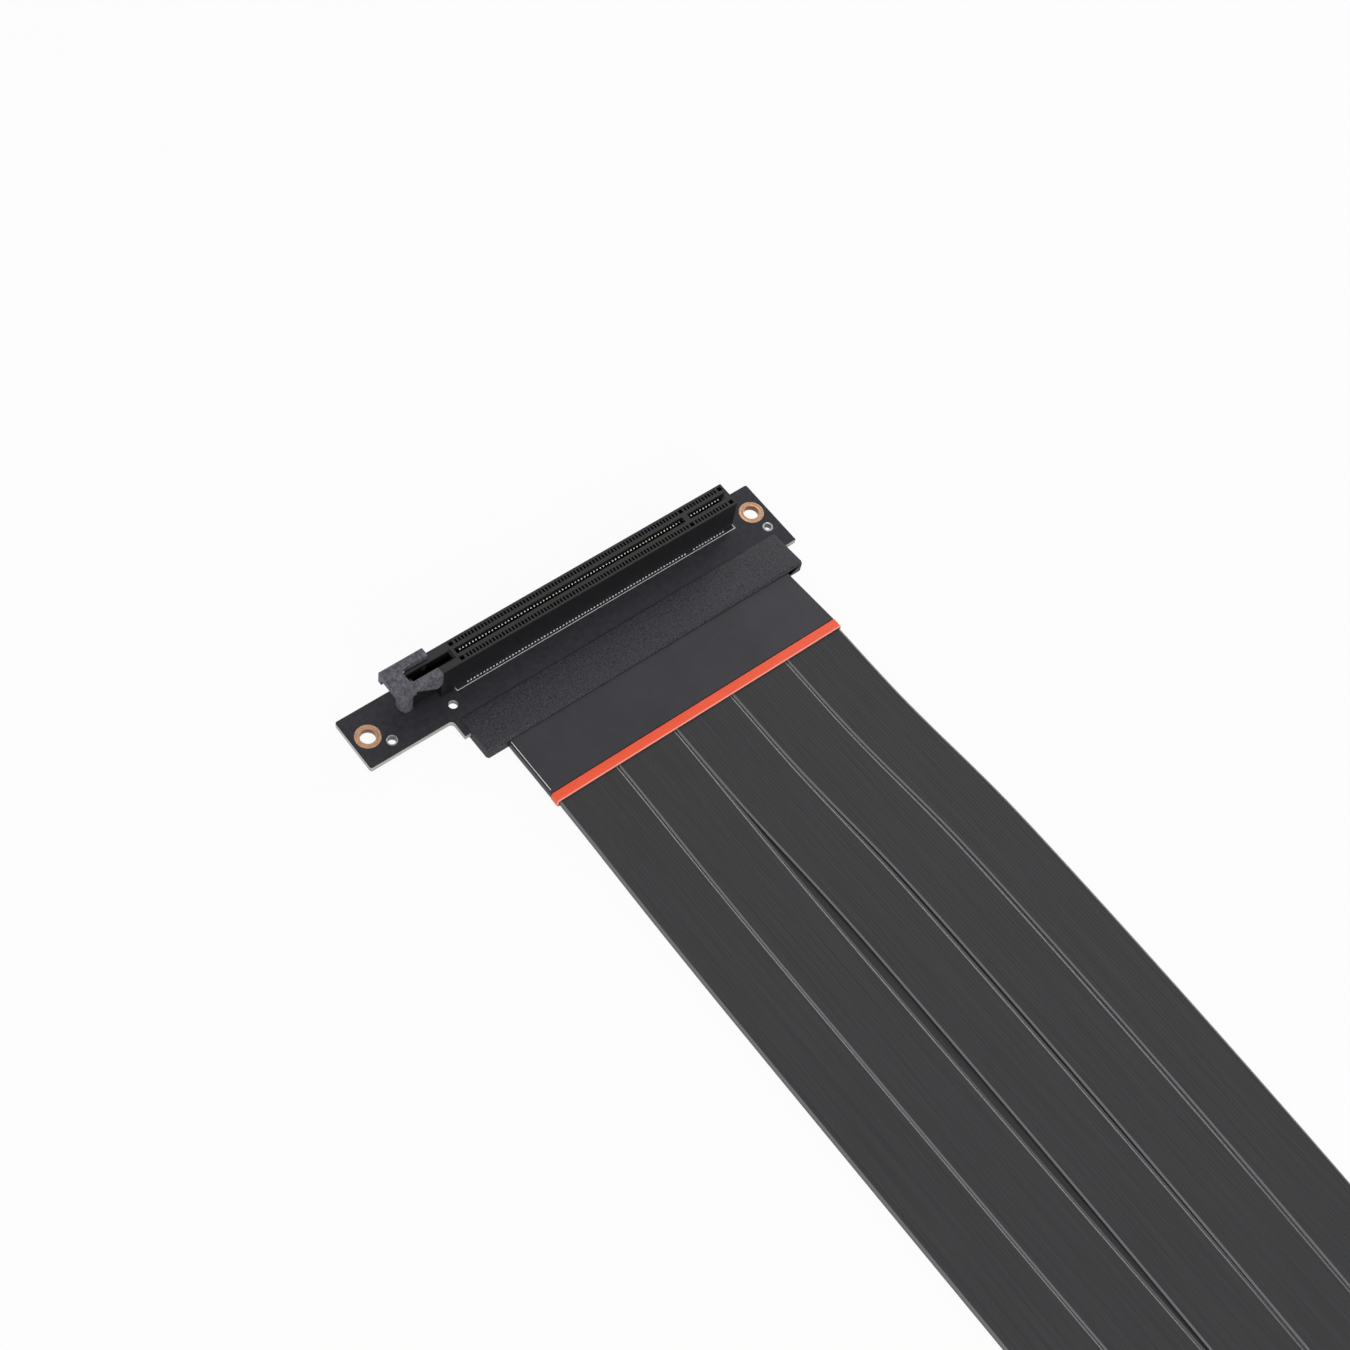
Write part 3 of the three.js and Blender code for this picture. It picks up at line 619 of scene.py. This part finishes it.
def filletMesh(look, side):  # a solder fillet over one tail
    points, faces = [], []
    for ring in range(look["rings"]):
        angle = 0.5 * math.pi * ring / look["rings"]
        for k in range(look["sides"]):
            turn = 2 * math.pi * k / look["sides"]
            points.append(place(math.cos(angle) * math.cos(turn) * look["width"] / 2,
                                side * look["y"] + math.cos(angle) * math.sin(turn) * look["length"] / 2,
                                math.sin(angle) * look["height"]))
    points.append(place(0, side * look["y"], look["height"]))
    sides = look["sides"]
    for ring in range(look["rings"] - 1):
        for k in range(sides):
            a, b = ring * sides + k, ring * sides + (k + 1) % sides
            faces.append((a, b, b + sides, a + sides))
    last = (look["rings"] - 1) * sides
    faces += [(last + k, last + (k + 1) % sides, len(points) - 1) for k in range(sides)]
    faces.append(tuple(range(sides - 1, -1, -1)))
    return points, faces


for side, word in ((1, "far"), (-1, "near")):
    makeRow(f"{word}_solder_joints", *filletMesh(solder, side), (), materials["solderPaintedShine"],
            looseness=solder["looseness"], seed=solder["seeds"][word],
            degrees=solder["smoothAngle"], slot="tinned_pad")

fingers = {
    "width": 0.72, "length": 5.4, "tipY": -0.75, "height": 0.035, "corner": 0.16, "cornerSteps": 3,
    "boardThickness": 1.6, "smoothAngle": 30,
}


def fingerMesh(look, top):
    half, corner = look["width"] / 2, look["corner"]
    far, near = look["tipY"], look["tipY"] - look["length"]
    outline = []
    for x, y, start in ((half - corner, far - corner, 0), (-half + corner, far - corner, 90),
                        (-half + corner, near + corner, 180), (half - corner, near + corner, 270)):
        for k in range(look["cornerSteps"] + 1):
            angle = math.radians(start + 90 * k / look["cornerSteps"])
            outline.append((x + corner * math.cos(angle), y + corner * math.sin(angle)))
    under = -look["boardThickness"]
    low, high = (0.0, look["height"]) if top else (under, under - look["height"])
    points = [place(x, plugTurnY - y, z) for z in (low, high) for x, y in outline]
    count = len(outline)
    faces = [tuple(range(count)), tuple(range(2 * count - 1, count - 1, -1))]
    faces += [(k, (k + 1) % count, count + (k + 1) % count, count + k) for k in range(count)]
    return points, faces


for top, word in ((True, "upper"), (False, "lower")):
    makeRow(f"{word}_card_fingers", *fingerMesh(fingers, top), (), materials["goldPlate"],
            degrees=fingers["smoothAngle"], slot="copper_pad")
print("contact rows set out")


def blocksMesh(blocks):  # each block by its two X, two Y and two Z
    points, faces = [], []
    for x0, x1, y0, y1, z0, z1 in blocks:
        start = len(points)
        points += [place(x, y, z) for z in (z0, z1)
                   for x, y in ((x0, y0), (x1, y0), (x1, y1), (x0, y1))]
        faces += [tuple(start + k for k in face) for face in (
            (3, 2, 1, 0), (4, 5, 6, 7), (0, 1, 5, 4), (1, 2, 6, 5), (2, 3, 7, 6), (3, 0, 4, 7))]
    return points, faces


# white outline printed round the slot

outline = {"left": -3.77, "right": 86.6, "y": 4.31, "tick": 1.8, "width": 0.16, "height": 0.02}


def makeOutline(look):
    left, right, y, half = look["left"], look["right"], look["y"], look["width"] / 2
    bars = []
    for side in (-1, 1):
        inner = side * (y - look["tick"])
        bars += [(left - half, right + half, side * y - half, side * y + half),
                 (left - half, left + half, *sorted((inner, side * (y - half)))),
                 (right - half, right + half, *sorted((inner, side * (y - half))))]
    blocks = [(*bar, 0, look["height"]) for bar in bars]
    finished(meshObject("slot_outline_print", *blocksMesh(blocks)), materials["whiteInk"])


makeOutline(outline)

# thin ribs close the gap between the slot's neck and the latch's arms

neckRibs = {"left": -16.4, "right": -12.4, "inner": 1.8, "outer": 2.14, "bottom": 9.4, "top": 11.2}


def makeNeckRibs(look):
    blocks = [(look["left"], look["right"], *sorted((side * look["inner"], side * look["outer"])),
               look["bottom"], look["top"]) for side in (-1, 1)]
    finished(meshObject("neck_ribs", *blocksMesh(blocks)), materials["slotPlastic"])


makeNeckRibs(neckRibs)


# plated holes: a barrel with a rounded pad on each face of the board

platedHoles = {
    # X, Y, bore, pad, finish and the record's slot
    "mounting_eyelet_left": (-29.7, -2.8, 4.1, 6.8, "bareCopper", "copper_pad"),
    "mounting_eyelet_right": (93.4, -2.8, 4.1, 6.8, "bareCopper", "copper_pad"),
    "tooling_eyelet_left": (-25.4, -7.0, 2.2, 3.0, "tinPlate", "tinned_pad"),
    "tooling_eyelet_right": (94.2, -8.9, 1.8, 2.9, "tinPlate", "tinned_pad"),
}

plating = {
    "boardUnder": -1.6,
    "barrelWall": 0.2,
    "padHeight": 0.12,
    "padHollow": 0.06,
    "lip": 0.1,  # a low ridge runs round each side of the pad, this share of its width
    "easeIn": 0.02,
    "easeUp": 0.07,
    "sides": 64,
}


def makePlatedHole(look, node, x, y, bore, pad, finish, slot):
    inner, outer, under, rim = bore / 2, pad / 2, look["boardUnder"], look["padHeight"]
    hollow, easeIn, easeUp = rim - look["padHollow"], look["easeIn"], look["easeUp"]
    barrel = inner + look["barrelWall"]
    lip = look["lip"] * (outer - inner)
    upper = [(inner, 0.0), (inner + easeIn, easeUp), (inner + lip, rim), (inner + 2 * lip, rim),
             (inner + 3 * lip, hollow), (outer - 3 * lip, hollow), (outer - 2 * lip, rim),
             (outer - lip, rim), (outer - easeIn, easeUp), (outer, 0.0)]
    lower = [(r, under - z) for r, z in reversed(upper)]
    profile = upper + [(barrel, 0.0), (barrel, under)] + lower
    sides = look["sides"]
    points, faces, paintedLights = [], [], []
    for k in range(sides):
        turn = 2 * math.pi * k / sides
        points += [place(x + r * math.cos(turn), y + r * math.sin(turn), z) for r, z in profile]
        # the bore wall takes the darker tone: painted shade inside the hole
        paintedLights += [float(r <= inner + easeIn / 2) for r, z in profile]
    count = len(profile)
    for k in range(sides):
        for j in range(count):
            a, b = k * count + j, k * count + (j + 1) % count
            c, d = ((k + 1) % sides) * count + (j + 1) % count, ((k + 1) % sides) * count + j
            faces.append((a, b, c, d))
    piece = meshObject(node + "_plating", points, faces)
    markPaintedLight(piece, paintedLights)
    cleanNormals(piece)
    smoothByAngle(piece)
    finished(piece, materials[finish], replaces=[node])


for node, values in platedHoles.items():
    makePlatedHole(plating, node, *values)


# moulded pieces: the CAD shape with its sharp corners rounded over

mouldings = {
    "slot_latch": {"name": "latch_yoke", "edge": 0.22, "steps": 3, "finish": "latchPlastic",
                   "slot": "latch_plastic", "body": "latch"},
    "socket_cover": {"name": "socket_cover_moulding", "edge": 0.1, "steps": 2,
                     "finish": "coverPlastic", "slot": "cover_plastic", "body": "riser"},
    "plug_cover": {"name": "plug_cover_moulding", "edge": 0.1, "steps": 2,
                   "finish": "coverPlastic", "slot": "cover_plastic", "body": "riser"},
}

mouldingAngles = {"flat": 1, "corner": 35, "smooth": 40}  # in degrees


def makeMoulding(node, look, angles):
    piece = bpy.data.objects.new(look["name"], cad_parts[node].data.copy())
    scene.collection.objects.link(piece)
    cleanNormals(piece, mergeDistance=1e-6)
    work = bmesh.new()
    work.from_mesh(piece.data)
    bmesh.ops.dissolve_limit(work, angle_limit=math.radians(angles["flat"]),
                             verts=work.verts, edges=work.edges)
    work.to_mesh(piece.data)
    work.free()
    rounding = piece.modifiers.new("rounding", "BEVEL")
    rounding.width = look["edge"] * mm
    rounding.segments = look["steps"]
    rounding.limit_method = "ANGLE"
    rounding.angle_limit = math.radians(angles["corner"])
    bakeModifiers(piece)
    smoothByAngle(piece, angles["smooth"])
    finished(piece, materials[look["finish"]], look["body"], [node])


for node, look in mouldings.items():
    makeMoulding(node, look, mouldingAngles)
print("mouldings rounded")


# sleeve and band: a film folded round the ribbons, with its cut edge along the left side as a low bead
# painted pale as a highlight, over a dark strip of painted shade

sleeves = {
    "halfWidth": 46.0,
    "halfHeight": 1.3,
    "radius": 0.4,
    "leastRadius": 0.12,
    "wall": 0.2,
    "bandProud": 0.12,
    "bandEase": 0.03,
    "bandShoulder": 0.1,
    "top": -20.3,
    "bandStart": -41.4,
    "bandEnd": -44.3,
    "middleX": 44.0,
    "middleZ": -0.8,
    "cornerSteps": 6,
    "groove": 0.12,
    # width of the painted highlight along the band's near edge
    "bandHighlightWidth": 0.32,
    # the film's cut edge, a bead whose pale colour is a painted highlight: where it lies from the left
    # side, its width and height
    "seamFrom": 0.28,
    "seamWidth": 0.3,
    "seamHeight": 0.05,
    # the dark strip of painted shade under the bead: its width and height
    "shadeStripWidth": 0.8,
    "shadeStripHeight": 0.02,
    "seamStart": -24.1,
    "seamEnd": -40.6,
    "seamProfile": ((0, 0), (0.12, 0.75), (0.3, 1), (0.7, 1), (0.88, 0.75), (1, 0)),
}


def sleeveSection(look, grow):
    halfWidth, halfHeight = look["halfWidth"] + grow, look["halfHeight"] + grow
    radius = max(look["leastRadius"], look["radius"] + grow)
    points = []
    for cx, cz, start in ((1, 1, 0), (-1, 1, 90), (-1, -1, 180), (1, -1, 270)):
        for k in range(look["cornerSteps"] + 1):
            angle = math.radians(start + 90 * k / look["cornerSteps"])
            points.append((look["middleX"] + cx * (halfWidth - radius) + radius * math.cos(angle),
                           look["middleZ"] + cz * (halfHeight - radius) + radius * math.sin(angle)))
    return points


def drawnIn(look, x, y):  # the sleeve narrows towards the cover, about its left side
    across = (x - look["middleX"] + look["halfWidth"]) / (2 * look["halfWidth"])
    return x - ribbons["splay"] * splayShare(ribbons, y) * across


def makeTube(name, look, stations, flip):
    points, faces, paintedLights = [], [], []
    for y, grow, paintedLight in stations:
        for x, z in sleeveSection(look, grow):
            points.append(place(drawnIn(look, x, y), plugTurnY - y if flip else y, z))
            paintedLights.append(paintedLight)
    count = len(sleeveSection(look, 0))
    rings = len(stations)
    for ring in range(rings):
        nextRing = (ring + 1) % rings
        for k in range(count):
            faces.append((ring * count + k, ring * count + (k + 1) % count,
                          nextRing * count + (k + 1) % count, nextRing * count + k))
    piece = meshObject(name, points, faces)
    markPaintedLight(piece, paintedLights)
    cleanNormals(piece)
    smoothByAngle(piece)
    return piece


def makeSeamStrip(name, look, start, width, height, flip):  # a low rounded strip on the film
    left = look["middleX"] - look["halfWidth"] + start
    top = look["middleZ"] + look["halfHeight"]
    profile, points = look["seamProfile"], []
    for y in (look["seamStart"], look["seamEnd"]):
        endY = plugTurnY - y if flip else y
        points += [place(drawnIn(look, left + a * width, y), endY, top + b * height)
                   for a, b in profile]
    count = len(profile)
    faces = [tuple(range(count)), tuple(range(2 * count - 1, count - 1, -1))]
    faces += [(k, (k + 1) % count, count + (k + 1) % count, count + k) for k in range(count)]
    piece = meshObject(name, points, faces)
    cleanNormals(piece)
    smoothByAngle(piece)
    return piece


def makeSleeve(prefix, look, flip):
    wall, proud, groove = look["wall"], look["bandProud"], look["groove"]
    start, end, paintedLight = look["bandStart"], look["bandEnd"], look["bandHighlightWidth"]
    ease, shoulder, top = look["bandEase"], look["bandShoulder"], look["top"]
    sleeve = makeTube(f"{prefix}_sleeve_film", look, [
        (top, 0, 0), (start + groove, 0, 0), (start + groove, -wall, 0), (top, -wall, 0)], flip)
    finished(sleeve, materials["sleeveFilm"], replaces=[f"{prefix}_sleeve"])
    start -= groove
    # the band's near edge takes a pale pink painted highlight where the stations give 1
    band = makeTube(f"{prefix}_band_film", look, [
        (start, 0.0, 0), (start - ease, proud - ease, 0), (start - shoulder, proud, 0),
        (end + paintedLight, proud, 0), (end + paintedLight - ease, proud, 1), (end + shoulder, proud, 1),
        (end + ease, proud - ease, 1), (end, 0.0, 1), (end, -wall, 0), (start, -wall, 0)], flip)
    finished(band, materials["bandFilm"], replaces=[f"{prefix}_band"])
    middle = look["seamFrom"] + look["seamWidth"] / 2
    # a wider near-black strip under the bead: painted shade
    shadeStrip = makeSeamStrip(f"{prefix}_sleeve_painted_shade", look, middle - look["shadeStripWidth"] / 2,
                         look["shadeStripWidth"], look["shadeStripHeight"], flip)
    finished(shadeStrip, materials["paintedEdgeShade"])
    # the bead along the left side, coloured pale as a painted highlight
    highlightBead = makeSeamStrip(f"{prefix}_sleeve_painted_highlight", look, look["seamFrom"],
                         look["seamWidth"], look["seamHeight"], flip)
    finished(highlightBead, materials["paintedEdgeHighlight"])


makeSleeve("socket", sleeves, False)
makeSleeve("plug", sleeves, True)
print("sleeves closed")


# CAD nodes that keep their shape get their finish

for node, finish in (("socket_board", "solderMask"), ("plug_board", "solderMask"),
                     ("slot_housing", "slotPlastic")):
    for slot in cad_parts[node].material_slots:
        slot.material = materials[finish]
